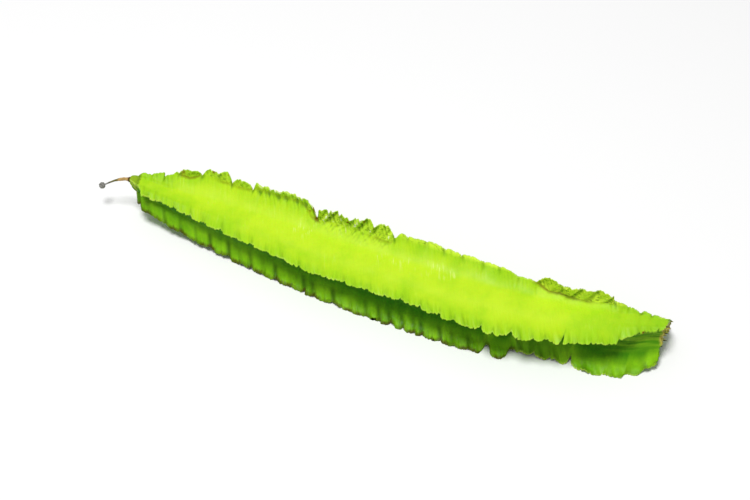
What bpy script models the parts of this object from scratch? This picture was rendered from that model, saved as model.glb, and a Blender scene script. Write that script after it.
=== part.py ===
"""One winged bean: a long green pod with a four-cornered body, a thin frilled wing along each corner,
and the dried thread of the flower still on its tip. It lies on a table on its two lower wings.

Frame: +X runs from the pod's tip to its trimmed stalk end, +Y to the back, +Z up. The table is z = 0,
and the origin is on it, under the middle of the object. Lengths are metres.

A cross-section is drawn in the YZ plane. Angles there are degrees, from +Y (back) towards +Z (up).
A "share" runs from 0 at the tip to 1 at the stalk end, or across a wing from its root to its edge.
"""

import math

import bpy
import numpy as np
from mathutils import Vector

MM = 0.001

# The pod's centre line. It bows towards -Y, most of all near the stalk end, and its ends lift off.
POD_LENGTH = 186 * MM
TIP_X = -87.6 * MM
CENTRE_Y = 7.95 * MM
CENTRE_HEIGHT = 9.9 * MM
BOW_MM = [(0, 0), (0.15, 2.0), (0.3, 5.0), (0.5, 8.2), (0.7, 9.5), (0.85, 7.0), (0.94, 3.2), (1, 0)]
TIP_RISE = 3.4 * MM
TIP_RISE_SHARE = 0.2
STALK_RISE = 1.2 * MM
STALK_RISE_SHARE = 0.16

# How far the body's corners lie from its centre line, and how far its faces bulge past straight ones.
BODY_REACH_MM = [(0, 1.8), (0.05, 2.9), (0.15, 4.3), (0.3, 5.2), (0.5, 5.6), (0.75, 5.4), (0.9, 4.4), (1, 3.2)]
FACE_BULGE = 0.16
SEED_SPACING = 13.0 * MM
SEED_BULGE = 0.2 * MM

# Each wing: the corner it grows from, the way it points there, and how much it turns by its edge.
WINGS = {
    "back_upper": {"corner": 50, "points": 38, "turn": 8, "seed": 11},
    "front_upper": {"corner": 140, "points": 170, "turn": 22, "seed": 23},
    "front_lower": {"corner": 226, "points": 224, "turn": -6, "seed": 37},
    "back_lower": {"corner": 312, "points": 312, "turn": 8, "seed": 41},
}

# Its width. Every wing starts blunt near the tip, and the upper ones die away before the stalk end.
WIDTH_MM = {
    "back_upper": [(0, 0.6), (0.015, 2.0), (0.06, 4.2), (0.1, 7.4), (0.15, 10.2), (0.2, 11.4), (0.3, 11.8),
                   (0.45, 11.6), (0.5, 11.2), (0.53, 9.0), (0.6, 8.9), (0.7, 7.8), (0.75, 6.2), (0.79, 10.0),
                   (0.83, 8.2), (0.88, 7.8), (0.91, 4.4), (0.94, 1.2), (1, 0.4)],
    "front_upper": [(0, 0.8), (0.02, 1.0), (0.035, 3.4), (0.06, 2.8), (0.1, 2.6), (0.2, 4.4), (0.32, 6.8),
                    (0.4, 7.7), (0.5, 7.2), (0.57, 7.2), (0.64, 8.8), (0.74, 9.8), (0.83, 8.4), (0.91, 6.8),
                    (0.935, 4.6), (0.96, 1.8), (1, 1.0)],
    "front_lower": [(0, 0.6), (0.01, 1.2), (0.02, 4.2), (0.06, 5.2), (0.15, 6.6), (0.4, 9.2), (0.55, 9.9),
                    (0.68, 10.3), (0.74, 9.0), (0.78, 7.8), (0.83, 8.4), (0.88, 11.6), (0.95, 12.6), (1, 8.6)],
    "back_lower": [(0, 0.6), (0.01, 1.2), (0.02, 4.2), (0.06, 5.2), (0.15, 6.8), (0.4, 9.0), (0.8, 9.6),
                   (0.94, 9.0), (1, 7.2)],
}

# Half of a wing's thickness, at its root and at its edge.
HALF_ROOT = 0.85 * MM
HALF_EDGE = 0.32 * MM
THINNING = 1.6

# The edge of the back upper wing folds up and forwards along two stretches of the pod.
CURLED_WING = "back_upper"
CURL_DEGREES = [(0, 20), (0.08, 60), (0.2, 90), (0.3, 80), (0.36, 95), (0.5, 95), (0.53, 10), (0.76, 10),
                (0.8, 100), (0.87, 90), (0.93, 20), (1, 0)]
CURL_FROM = 0.62

# The frill: waves that grow towards a wing's edge. They are lower where the edge lies on the table.
FRILL = 0.9 * MM
LYING_FRILL = 0.5 * MM
FRILL_WAVES = (17.0 * MM, 10.5 * MM)
FRILL_DRIFT = 1.3

# A lower wing bends outwards where it nears the table, and its edge lies flat on it.
OUTWARDS = {"front_lower": 180, "back_lower": 360}
LANDING = 1.8 * MM
LANDING_TURN = 0.85
LIES_WITHIN = 0.3 * MM

# The dried thread: how far points along it lie out from the tip, back and up, and its radius there.
SEAT_GAP = 0.3 * MM
THREAD_MM = [(0.0, 0.0, 0.0, 0.95), (0.5, 0.0, 0.0, 0.85), (1.2, -0.1, -0.05, 0.6), (2.6, -0.35, -0.35, 0.55),
             (4.2, -0.65, -0.85, 0.5), (5.6, -1.0, -1.5, 0.36), (7.0, -1.45, -2.35, 0.3),
             (8.3, -1.9, -3.2, 0.28)]
KNOB_RADIUS = 1.15 * MM
KNOB_STEPS = 8
KNOB_END_TURN = 0.3

# How finely the solids are faceted.
STATIONS = 73
WING_STEPS = 5
STEP_CROWDING = 1.3
FACE_STEPS = 3
MARCH_STEPS = 24
SHARP_EDGE = 50

# Linear colours.
SKIN_GREEN = (0.37, 0.68, 0.035, 1)
THREAD_BROWN = (0.42, 0.3, 0.16, 1)


def through(share, stops):
    """A smooth curve through (share, value) stops."""
    places, values = np.array(stops, float).T
    slopes = np.gradient(values, places)
    i = np.clip(np.searchsorted(places, share) - 1, 0, len(places) - 2)
    span = places[i + 1] - places[i]
    t = (share - places[i]) / span
    arrived = t * t * (3 - 2 * t)
    lead = (t**3 - 2 * t**2 + t) * slopes[i] * span
    trail = (t**3 - t**2) * slopes[i + 1] * span
    return (1 - arrived) * values[i] + arrived * values[i + 1] + lead + trail


def ease(t):
    """From 0 to 1, level at both ends."""
    t = np.clip(t, 0, 1)
    return t * t * (3 - 2 * t)


def centre_line(share):
    """The middle of the body, as x, y and z."""
    near_tip = np.clip(1 - share / TIP_RISE_SHARE, 0, 1) ** 2
    near_stalk = np.clip(1 - (1 - share) / STALK_RISE_SHARE, 0, 1) ** 2
    x = TIP_X + POD_LENGTH * share
    y = CENTRE_Y - through(share, BOW_MM) * MM
    z = CENTRE_HEIGHT + TIP_RISE * near_tip + STALK_RISE * near_stalk
    return x, y, z


def body_reach(share):
    """How far a corner of the body lies from its centre line. It swells a little at each seed."""
    swell = SEED_BULGE * np.sin(2 * math.pi * share * POD_LENGTH / SEED_SPACING)
    return through(share, BODY_REACH_MM) * MM + swell * ease(10 * np.minimum(share, 1 - share))


def half_thickness(across):
    return HALF_EDGE + (HALF_ROOT - HALF_EDGE) * (1 - across) ** THINNING


def frill(wing, share, across):
    """How far a wing's middle surface waves out of its own plane."""
    rng = np.random.default_rng(WINGS[wing]["seed"])
    height = LYING_FRILL if wing in OUTWARDS else FRILL
    wave = 0
    for length in FRILL_WAVES:
        start, drift = rng.uniform(0, 2 * math.pi, 2)
        run = share * POD_LENGTH / length
        wave = wave + np.sin(2 * math.pi * run + start + FRILL_DRIFT * np.sin(run + drift))
    return height * wave / len(FRILL_WAVES) * across**2


def wing_surface(wing, share):
    """A wing's middle surface, marched out from its root, one row a step: y from the centre line, z, angle."""
    facts = WINGS[wing]
    corner = math.radians(facts["corner"])
    y = body_reach(share) * math.cos(corner)
    z = centre_line(share)[2] + body_reach(share) * math.sin(corner)
    stride = through(share, WIDTH_MM[wing]) * MM / MARCH_STEPS
    curl = through(share, CURL_DEGREES) if wing == CURLED_WING else 0
    rows = []
    for step in range(MARCH_STEPS + 1):
        across = step / MARCH_STEPS
        half = half_thickness(across)
        turned = facts["turn"] * across + curl * ease((across - CURL_FROM) / (1 - CURL_FROM))
        angle = facts["points"] + turned + 0 * share
        if wing in OUTWARDS:
            landed = LANDING_TURN * (1 - ease((z - half) / LANDING))
            angle = angle + (OUTWARDS[wing] - angle) * landed
            z = np.maximum(z, half)
        rows.append((y, z, np.radians(angle)))
        y = y + stride * np.cos(np.radians(angle))
        z = z + stride * np.sin(np.radians(angle))
    return [np.array(row) for row in zip(*rows)]


def wing_sides(wing, share):
    """The wing's two skins as lists of (y, z) columns: the first from root to edge, the second back."""
    y, z, angle = wing_surface(wing, share)
    out, back = [], []
    for step in range(WING_STEPS + 1):
        across = 1 - (1 - step / WING_STEPS) ** STEP_CROWDING
        row = round(across * MARCH_STEPS)
        half = half_thickness(across)
        wave = frill(wing, share, across)
        side_y, side_z = -np.sin(angle[row]), np.cos(angle[row])
        middle_y, middle_z = y[row] + wave * side_y, z[row] + wave * side_z
        if wing in OUTWARDS:
            middle_z = np.maximum(middle_z, half * np.abs(side_z))
        out.append((middle_y - half * side_y, middle_z - half * side_z))
        back.append((middle_y + half * side_y, middle_z + half * side_z))
    return out, back[::-1]


def face_columns(start, end, middle_z):
    """The body's face between two wings: (y, z) columns between their roots, bulging a little outwards."""
    columns = []
    for step in range(1, FACE_STEPS):
        t = step / FACE_STEPS
        bulge = 1 + FACE_BULGE * math.sin(math.pi * t)
        y = start[0] + (end[0] - start[0]) * t
        z = start[1] + (end[1] - start[1]) * t
        columns.append((y * bulge, middle_z + (z - middle_z) * bulge))
    return columns


def pod_columns(share):
    """All the lines that run the pod's length, as (y, z), in order round its section."""
    _, middle_y, middle_z = centre_line(share)
    sides = [wing_sides(wing, share) for wing in WINGS]
    columns = []
    for i, (out, back) in enumerate(sides):
        next_out = sides[(i + 1) % len(sides)][0]
        columns += out + back + face_columns(back[-1], next_out[0], middle_z)
    return [(middle_y + y, np.where(z < LIES_WITHIN, 0, z)) for y, z in columns]


def make_material(name, colour, roughness):
    material = bpy.data.materials.new(name)
    material.use_nodes = True
    shader = material.node_tree.nodes["Principled BSDF"]
    shader.inputs["Base Color"].default_value = colour
    shader.inputs["Roughness"].default_value = roughness
    shader.inputs["Metallic"].default_value = 0
    return material


def make_pod():
    """A loft: one ring of points at each station, joined to the next, and a flat cap at each end."""
    share = np.linspace(0, 1, STATIONS)
    x = centre_line(share)[0]
    columns = pod_columns(share)
    count = len(columns)
    points = [(x[i], y[i], z[i]) for i in range(STATIONS) for y, z in columns]
    faces = [tuple(reversed(range(count))), tuple(range((STATIONS - 1) * count, STATIONS * count))]
    for here in range(0, (STATIONS - 1) * count, count):
        there = here + count
        for j in range(count):
            k = (j + 1) % count
            faces.append((here + j, here + k, there + k, there + j))
    mesh = bpy.data.meshes.new("pod")
    mesh.from_pydata(points, [], faces)
    mesh.update()
    mesh.shade_smooth()
    mesh.set_sharp_from_angle(angle=math.radians(SHARP_EDGE))
    mesh.materials.append(make_material("pod_skin", SKIN_GREEN, 0.42))
    return bpy.data.objects.new("pod", mesh)


def thread_route():
    """The dried thread's points and radii: a tube that thins, then swells into the stigma's round knob."""
    _, tip_y, tip_z = (float(v) for v in centre_line(np.array(0.0)))
    seat = Vector((TIP_X - SEAT_GAP, tip_y, tip_z))
    route = [(seat + Vector((-out, back, up)) * MM, radius * MM) for out, back, up, radius in THREAD_MM]
    neck, neck_radius = route[-1]
    onwards = (neck - route[-2][0]).normalized()
    first_turn = math.asin(neck_radius / KNOB_RADIUS)
    for step in range(1, KNOB_STEPS + 1):
        turn = first_turn + (math.pi - KNOB_END_TURN - first_turn) * step / KNOB_STEPS
        reach = KNOB_RADIUS * (math.cos(first_turn) - math.cos(turn))
        route.append((neck + onwards * reach, KNOB_RADIUS * math.sin(turn)))
    return route


def make_dried_thread():
    """The flower's dried style and stigma, as one curve with a round section."""
    route = thread_route()
    curve = bpy.data.curves.new("dried_thread", "CURVE")
    curve.dimensions = "3D"
    curve.bevel_depth = MM
    curve.bevel_resolution = 2
    curve.use_fill_caps = True
    line = curve.splines.new("POLY")
    line.points.add(len(route) - 1)
    for point, (place, radius) in zip(line.points, route):
        point.co = (*place, 1)
        point.radius = radius / MM
    curve.materials.append(make_material("dried_thread", THREAD_BROWN, 0.7))
    return bpy.data.objects.new("dried_thread", curve)


def main():
    for old in list(bpy.data.objects):
        bpy.data.objects.remove(old)
    collection = bpy.data.collections.new("winged_bean")
    bpy.context.scene.collection.children.link(collection)
    collection.objects.link(make_pod())
    collection.objects.link(make_dried_thread())


main()
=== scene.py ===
# %% [markdown]
# # A winged bean
#
# This lesson models one winged bean pod in Blender, the way it lies on a table after picking. The pod is a
# long green bean with a square body. A thin wing grows along each of its four corners, frilled and torn at
# its edge. At its tip the dried thread of the flower is still in place.
#
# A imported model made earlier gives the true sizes. It is loaded as a fixed frame, and the fine shapes are
# modelled over it. Blender counts in metres, but the sizes of so small a thing are easier to read in
# millimetres. So the form is written in millimetres, and multiplied by MM where Blender gets it.

import math

import bmesh
import bpy
import numpy as np
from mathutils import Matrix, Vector


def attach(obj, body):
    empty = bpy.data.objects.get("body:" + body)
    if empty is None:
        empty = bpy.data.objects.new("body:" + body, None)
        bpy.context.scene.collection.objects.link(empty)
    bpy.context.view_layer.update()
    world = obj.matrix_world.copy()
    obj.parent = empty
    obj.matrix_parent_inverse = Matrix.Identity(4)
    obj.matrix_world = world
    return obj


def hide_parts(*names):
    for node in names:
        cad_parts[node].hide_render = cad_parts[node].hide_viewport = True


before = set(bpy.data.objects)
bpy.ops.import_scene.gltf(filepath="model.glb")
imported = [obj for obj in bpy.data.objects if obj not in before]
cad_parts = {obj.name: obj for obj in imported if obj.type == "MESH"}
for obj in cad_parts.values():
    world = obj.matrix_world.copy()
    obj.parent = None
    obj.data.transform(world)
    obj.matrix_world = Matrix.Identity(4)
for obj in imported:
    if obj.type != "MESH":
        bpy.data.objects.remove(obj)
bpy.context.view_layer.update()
MM = 0.001
print("frame nodes", sorted(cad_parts))

# %% [markdown]
# ## Camera, table and light
#
# The camera looks down on the pod from the front and a little from the right. Its lens is long, so the
# pod's far tip is barely smaller than its near end. The table is plain and pale. One wide lamp hangs over
# it, like a window in a ceiling, and the world adds soft light from all round. A wide lamp gives soft
# shadows and long, gentle highlights. All of this is set in metres.

# %% Camera
CAMERA_AZIMUTH = math.radians(19.45)
CAMERA_ELEVATION = math.radians(48)
CAMERA_DISTANCE = 0.4692
CAMERA_LENS = 70
CAMERA_TARGET = Vector((0.0032, 0.00065, 0.0193))
NEAREST_SEEN = 0.01

camera = bpy.data.objects.new("camera", bpy.data.cameras.new("camera"))
bpy.context.scene.collection.objects.link(camera)
back = Vector((math.sin(CAMERA_AZIMUTH) * math.cos(CAMERA_ELEVATION),
               -math.cos(CAMERA_AZIMUTH) * math.cos(CAMERA_ELEVATION),
               math.sin(CAMERA_ELEVATION)))
camera.location = CAMERA_TARGET + back * CAMERA_DISTANCE
camera.rotation_mode = "QUATERNION"
camera.rotation_quaternion = (-back).to_track_quat("-Z", "Y")
camera.data.lens = CAMERA_LENS
camera.data.clip_start = NEAREST_SEEN
bpy.context.scene.camera = camera
print("camera at", [round(v, 3) for v in camera.location])

# %% Table
TABLE_SIZE = 4

bpy.ops.object.select_all(action="DESELECT")
bpy.ops.mesh.primitive_plane_add(size=TABLE_SIZE)
table = bpy.context.object
table.name = "table"
print("table", TABLE_SIZE, "m wide")

# %% Light
LAMP_SIZE = 0.42
LAMP_HEIGHT = 1.2
LAMP_WATTS = 12.2
LAMP_PLACE = (-0.08, -0.25)
WORLD_STRENGTH = 0.3

lamp = bpy.data.objects.new("ceiling_lamp", bpy.data.lights.new("ceiling_lamp", "AREA"))
bpy.context.scene.collection.objects.link(lamp)
lamp.data.shape = "DISK"
lamp.data.size = LAMP_SIZE
lamp.data.energy = LAMP_WATTS
lamp.location = (*LAMP_PLACE, LAMP_HEIGHT)
lamp.rotation_mode = "QUATERNION"
lamp.rotation_quaternion = (-lamp.location).to_track_quat("-Z", "Y")

world = bpy.data.worlds.new("soft_room")
world.use_nodes = True
world.node_tree.nodes["Background"].inputs["Color"].default_value = (1, 1, 1, 1)
world.node_tree.nodes["Background"].inputs["Strength"].default_value = WORLD_STRENGTH
bpy.context.scene.world = world
bpy.context.scene.view_settings.view_transform = "Standard"
print("lamp", LAMP_WATTS, "W, world", WORLD_STRENGTH)

# %% [markdown]
# ## The pod's blank
#
# Carvers start from a blank, and so does this pod. A box is made as long as the pod. Its four long edges
# are bevelled into narrow strips, and each strip is extruded outwards again and again, which grows a flat
# wing on each corner. The faces between the wings are cut into columns, and last the whole bar is cut
# across into thin slices. Body and wings are one mesh, because the real ones grew in one piece.

# %% Helpers for picking faces and edges
SAME_PLACE = 1e-6


def pick(kind, wanted):
    """In edit mode, selects each "FACE" or "EDGE" that passes a test, and nothing else."""
    bpy.ops.mesh.select_mode(type=kind)
    bpy.ops.mesh.select_all(action="DESELECT")
    mesh = bmesh.from_edit_mesh(bpy.context.object.data)
    for part in filter(wanted, mesh.faces if kind == "FACE" else mesh.edges):
        part.select_set(True)
    bmesh.update_edit_mesh(bpy.context.object.data)


def lengthwise(edge):
    """Whether an edge runs along the pod."""
    return abs(edge.verts[0].co.x - edge.verts[1].co.x) > SAME_PLACE


def across_a_face(edge):
    """Whether an edge runs straight across one of the four faces."""
    run = edge.verts[0].co - edge.verts[1].co
    return not lengthwise(edge) and min(abs(run.y), abs(run.z)) < SAME_PLACE


# %% The blank: a bar with four strips
POD_LENGTH = 186.0
BLANK_SIDE = 8.0
STRIP_INSET = 0.6
STRIP_PROFILE = 0.25
FACE_STEPS = 5

bpy.ops.object.select_all(action="DESELECT")
bpy.ops.mesh.primitive_cube_add(size=BLANK_SIDE * MM)
pod = bpy.context.object
pod.name = "pod_skin"
bpy.ops.object.mode_set(mode="EDIT")
bpy.ops.transform.resize(value=(POD_LENGTH / BLANK_SIDE, 1, 1))
pick("EDGE", lengthwise)
bpy.ops.mesh.bevel(offset=STRIP_INSET * MM, segments=2, profile=STRIP_PROFILE, affect="EDGES")
pick("EDGE", across_a_face)
bpy.ops.mesh.subdivide(number_cuts=FACE_STEPS - 1)
print("bar with", len(bmesh.from_edit_mesh(pod.data).faces), "faces")

# %% The blank: wings and slices
DIAGONALS = [Vector((0, math.cos(turn), math.sin(turn))) for turn in np.radians([45, 135, 225, 315])]
FACING_OUT = 0.9
WING_STEPS = 13
WING_STEP = 1.0
SLICES = (19, 38)

for diagonal in DIAGONALS:
    pick("FACE", lambda face: face.normal.dot(diagonal) > FACING_OUT
         and face.calc_center_median().dot(diagonal) > BLANK_SIDE / 2 * MM)
    for step in range(WING_STEPS):
        bpy.ops.mesh.extrude_region_move(TRANSFORM_OT_translate={"value": diagonal * WING_STEP * MM})
for parts in SLICES:
    pick("EDGE", lengthwise)
    bpy.ops.mesh.subdivide(number_cuts=parts - 1)
bpy.ops.object.mode_set(mode="OBJECT")
print("blank:", len(pod.data.vertices), "points,", len(pod.data.polygons), "faces")

# %% [markdown]
# The blank's points lie on a grid, so each can be told where it belongs. A station is a cut across the pod,
# counted from the tip. A point of a wing is so many steps out, on one side of the sheet (-1 or 1) or in the
# middle of its rim (0). A point of a face lies a share of the way from one wing to the next. A valley is a
# face with the two wing sides that look into it.

# %% Read and move a piece's points
def points_of(piece):
    """A piece's points in millimetres, one in each row."""
    points = np.zeros(len(piece.data.vertices) * 3)
    piece.data.vertices.foreach_get("co", points)
    return points.reshape(-1, 3) / MM


def move_points(piece, points):
    """Puts a piece's points at new places, in millimetres."""
    piece.data.vertices.foreach_set("co", (points * MM).astype(np.float32).ravel())
    piece.data.update()


# %% How far along and how far out each point lies
STATIONS = SLICES[0] * SLICES[1] + 1
STRIP_OUT = (BLANK_SIDE - STRIP_INSET) / math.sqrt(2)

blank = points_of(pod)
station = np.rint((blank[:, 0] / POD_LENGTH + 0.5) * (STATIONS - 1)).astype(int)
share = np.linspace(0, 1, STATIONS)
along = share * POD_LENGTH
directions = np.array([diagonal[1:] for diagonal in DIAGONALS])
outwards = blank[:, 1:] @ directions.T
nearest = outwards.argmax(axis=1)
wing_step = np.clip(np.rint((outwards.max(axis=1) - STRIP_OUT) / WING_STEP), 0, WING_STEPS)
print(STATIONS, "stations,", round(along[1], 2), "mm apart")

# %% On which wing or face each point lies
STRIP_HALF = STRIP_INSET / math.sqrt(2)
TOUCH = 1e-3

sideways = outwards[np.arange(len(blank)), (nearest + 1) % 4]
on_wing = np.abs(sideways) < STRIP_HALF + TOUCH
side = np.where(np.abs(sideways) < STRIP_HALF / 2, 0, np.sign(sideways))
face_start = np.where(sideways > 0, nearest, (nearest - 1) % 4)
along_face = directions[(face_start + 1) % 4] - directions[face_start]
along_face /= np.linalg.norm(along_face, axis=1)[:, None]
face_share = 0.5 + (blank[:, 1:] * along_face).sum(axis=1) / (BLANK_SIDE - 2 * STRIP_INSET)
valley = np.where(on_wing, np.where(side >= 0, nearest, (nearest - 1) % 4), face_start)
print("on wings:", int(on_wing.sum()), "on faces:", int((~on_wing).sum()), "by valley:", np.bincount(valley))

# %% [markdown]
# ## The pod's form
#
# The pod bows to one side and its two ends lift off the table. The numbers below are the same driving sizes
# that the frame was made from. A curve through a few stops says how each size changes along the pod. Its
# places are millimetres from the tip, or shares of the pod's length. Nothing that grows is quite even, so
# seeded waves are added where a line would look too straight.

# %% Smooth curves and waves
WANDER = 1.3


def through(place, stops):
    """A smooth curve through (place, value) stops."""
    places, values = np.array(stops, float).T
    slopes = np.gradient(values, places)
    i = np.clip(np.searchsorted(places, place) - 1, 0, len(places) - 2)
    span = places[i + 1] - places[i]
    t = (place - places[i]) / span
    arrived = t * t * (3 - 2 * t)
    lead = (t**3 - 2 * t**2 + t) * slopes[i] * span
    trail = (t**3 - t**2) * slopes[i + 1] * span
    return (1 - arrived) * values[i] + arrived * values[i + 1] + lead + trail


def fade(place, start, length):
    """From 0 at a start to 1 a length further on, level at both ends. A negative length looks back."""
    t = np.clip((place - start) / length, 0, 1)
    return t * t * (3 - 2 * t)


def waves(place, lengths, seed):
    """A smooth, uneven line between about -1 and 1, with waves of these lengths."""
    rng = np.random.default_rng(seed)
    line = 0
    for length in lengths:
        start, drift = rng.uniform(0, 2 * math.pi, 2)
        run = place / length
        line = line + np.sin(2 * math.pi * run + start + WANDER * np.sin(run + drift))
    return line / len(lengths)


# %% The centre line
TIP_X = -87.6
CENTRE_Y = 7.95
CENTRE_HEIGHT = 9.9
BOW = [(0, 0), (0.15, 2.0), (0.3, 5.0), (0.5, 8.2), (0.7, 9.5), (0.85, 7.0), (0.94, 3.2), (1, 0)]
TIP_RISE = 3.4
TIP_RISE_SHARE = 0.2
TIP_HOOK = 0.6
TIP_HOOK_LENGTH = 2.6
STALK_RISE = 1.2
STALK_RISE_SHARE = 0.16

centre_x = TIP_X + along
centre_y = CENTRE_Y - through(share, BOW)
centre_z = (CENTRE_HEIGHT + TIP_RISE * np.clip(1 - share / TIP_RISE_SHARE, 0, 1) ** 2
            + TIP_HOOK * np.clip(1 - along / TIP_HOOK_LENGTH, 0, 1) ** 2
            + STALK_RISE * np.clip(1 - (1 - share) / STALK_RISE_SHARE, 0, 1) ** 2)
print("the pod bows by", round(float(np.ptp(centre_y)), 1), "mm")

# %% The body
BODY_REACH = [(0, 1.3), (0.004, 1.75), (0.015, 2.3), (0.05, 2.9), (0.15, 4.3), (0.3, 5.2), (0.5, 5.6),
              (0.75, 5.4), (0.9, 4.4), (1, 3.2)]
SEED_BULGE = 0.2
SEED_WAVES = (13.0, 9.0)
SEEDS_FROM = 0.1

seed_bulge = SEED_BULGE * waves(along, SEED_WAVES, seed=5)
body_reach = through(share, BODY_REACH) + seed_bulge * fade(share, 0, SEEDS_FROM)
print("body", round(2 * float(body_reach.max()), 1), "mm from corner to corner")

# %% [markdown]
# ## The wings
#
# Each wing is a thin sheet. Its middle surface is walked out from the body in small steps, and at each step
# the direction turns a little. A lower wing turns until it lies flat on the table. The back upper wing has
# been folded: from a crease on, parts of it stand up.
#
# How wide a wing is, and how sharply it is creased, changes along the pod, so each is a list of (place,
# value) stops with straight lines between them.

# %% How wide the wings are
WIDTHS = {
    "back_upper": [
        (0, 0.3), (1.2, 0.35), (2.3, 0.8), (4, 2.0), (6, 2.2), (8.4, 3.4), (10.8, 4.3), (14, 4.6),
        (16.5, 7.2), (20, 9.2), (25, 9.8), (33, 11.2), (40, 10.8), (46, 10.2), (58, 10.8), (64, 10.4),
        (70, 10.9), (75, 11.3), (80, 10.5), (85, 11.4), (91, 10.9), (94, 10.2), (95.5, 8.6), (108, 8.9),
        (115, 8.3), (131, 7.6), (137, 5.8), (143, 5.8), (146, 10.4), (149, 11.4), (154, 9.8), (160, 9.2),
        (165, 8.6), (167.5, 7.2), (169.5, 3.8), (176, 1.1), (182, 0.8), (186, 0.4)],
    "front_upper": [
        (0, 0.3), (4, 0.4), (5, 1.6), (6.6, 3.8), (9, 3.0), (15, 2.6), (20, 3.0), (40, 5.0), (58, 6.2),
        (65, 7.2), (72, 7.8), (80, 7.6), (90, 7.5), (100, 7.1), (107, 7.3), (113, 8.1), (121, 9.0),
        (127, 9.4), (134, 10.4), (138, 9.8), (144, 9.7), (150, 8.9), (156, 8.8), (160, 7.9), (168, 7.6),
        (169.5, 7.5), (169.9, 7.0), (172.4, 6.9), (172.8, 5.3), (175.3, 4.0), (178, 2.8), (180, 1.8),
        (183, 1.7), (186, 1.5)],
    "front_lower": [
        (0, 0.3), (2.2, 0.5), (3.4, 4.2), (6, 5.2), (28, 6.8), (74, 9.4), (100, 10.2), (120, 10.4),
        (131, 10.6), (132, 7.0), (133.2, 7.0), (134.4, 9.6), (136, 10.9), (138.2, 10.8), (139.2, 9.6),
        (140, 7.0), (142, 7.2), (148, 7.8), (155, 8.2), (158.4, 9.6), (162, 10.4), (166, 12.0),
        (173, 13.0), (176.4, 13.4), (176.9, 11.9), (178.5, 12.1), (180.5, 12.9), (182, 11.9),
        (182.5, 11.2), (186, 9.0)],
    "back_lower": [
        (0, 0.3), (2.2, 0.5), (3.6, 4.2), (7, 5.2), (28, 7.0), (74, 9.2), (149, 9.9), (175, 9.4),
        (182, 8.4), (186, 7.4)]}


def between(place, stops):
    """Straight lines between (place, value) stops."""
    places, values = np.array(stops, float).T
    return np.interp(place, places, values)


print("widest:", {name: max(width for place, width in stops) for name, stops in WIDTHS.items()})

# %% How the wings grow
# corner: where the wing is rooted, in degrees round the body. points: which way it sets out. turn: how far
# it has turned at its edge. lands: which way it lies once it has reached the table. foot_drop: how far its
# root sinks at the stalk end. slant: how its veins lean. frill: how far its edge waves. bulge: how strongly
# its lobes curve. outer: the width of the soft part that does so. drawn: how deep its seeded lobes are cut.
# teeth: how large its fine teeth are. notch, reach, shade: the width, length and darkness of the painted
# shade line below a notch. The key after shade: how much its pleats change the painted shading.
WINGS = [
    dict(name="back_upper", corner=50, points=38, turn=8, lands=None, foot_drop=0.35, slant=0.35,
         frill=0.35, bulge=0.7, outer=7.5, drawn=0.8, teeth=1.0, notch=0.45, reach=2.8, shade=0.9, painted_shading=0.8,
         seed=11),
    dict(name="front_upper", corner=140, points=170, turn=22, lands=None, foot_drop=0, slant=-0.35,
         frill=0.35, bulge=0.3, outer=6.0, drawn=0.8, teeth=1.8, notch=0.45, reach=2.8, shade=0.35, painted_shading=0.45,
         seed=23),
    dict(name="front_lower", corner=226, points=224, turn=-6, lands=180, foot_drop=0, slant=-0.35,
         frill=0.35, bulge=0.9, outer=6.0, drawn=0.9, teeth=1.2, notch=0.8, reach=6.0, shade=0.9, painted_shading=0.8,
         seed=37),
    dict(name="back_lower", corner=312, points=312, turn=8, lands=360, foot_drop=0, slant=0.35,
         frill=0.45, bulge=0.6, outer=6.0, drawn=1.0, teeth=1.0, notch=0.6, reach=2.8, shade=0.7, painted_shading=0.8,
         seed=41)]
print("wings are rooted at", {wing["name"]: wing["corner"] for wing in WINGS}, "degrees")

# %% The crease of the back upper wing
# How far it lies from the root, and how sharply the wing is folded there.
CREASE_OUT = [
    (0, 1.5), (10, 3), (16.4, 5.0), (20, 5.0), (23.6, 7.0), (35, 7.0), (42, 7.0), (45, 8.6), (62, 8.4),
    (66, 5.0), (69, 4.2), (72, 4.8), (80, 5.3), (88, 4.8), (94, 4.8), (96, 7.0), (136, 6.0), (143.4, 5.0),
    (147.8, 3.2), (153.5, 2.9), (160, 2.1), (166, 2.3), (170, 2.0), (186, 1.0)]
CREASE_DEGREES = [
    (0, 0), (2, 15), (10.8, 20), (11.4, 5), (14, 10), (16, 44), (23.7, 44), (24.4, 22), (29.7, 28),
    (30.4, 20), (35, 30), (35.5, 36), (43, 34), (43.5, 20), (60, 24), (66.6, 30), (67.6, 46), (79.5, 44),
    (80.3, 34), (88, 36), (88.6, 26), (94.6, 22), (95.6, 0), (137, 0), (143.2, 30), (144.2, 52),
    (151, 56), (160, 50), (168, 44), (169, 10), (178, 0), (186, 0)]
print("folded by up to", max(degrees for place, degrees in CREASE_DEGREES), "degrees")

# %% A wing's middle surface
MARCH_STEPS = 60
LEAST_WIDTH = 0.3
FOOT_DROP = (177, 9)
NO_CREASE = 99
CREASE_LENGTH = 0.9
FOLD_GOES_ON = 2.5 / 40
LANDING = 1.8
LANDING_TURN = 0.85
HALF_EDGE = 0.2


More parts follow.
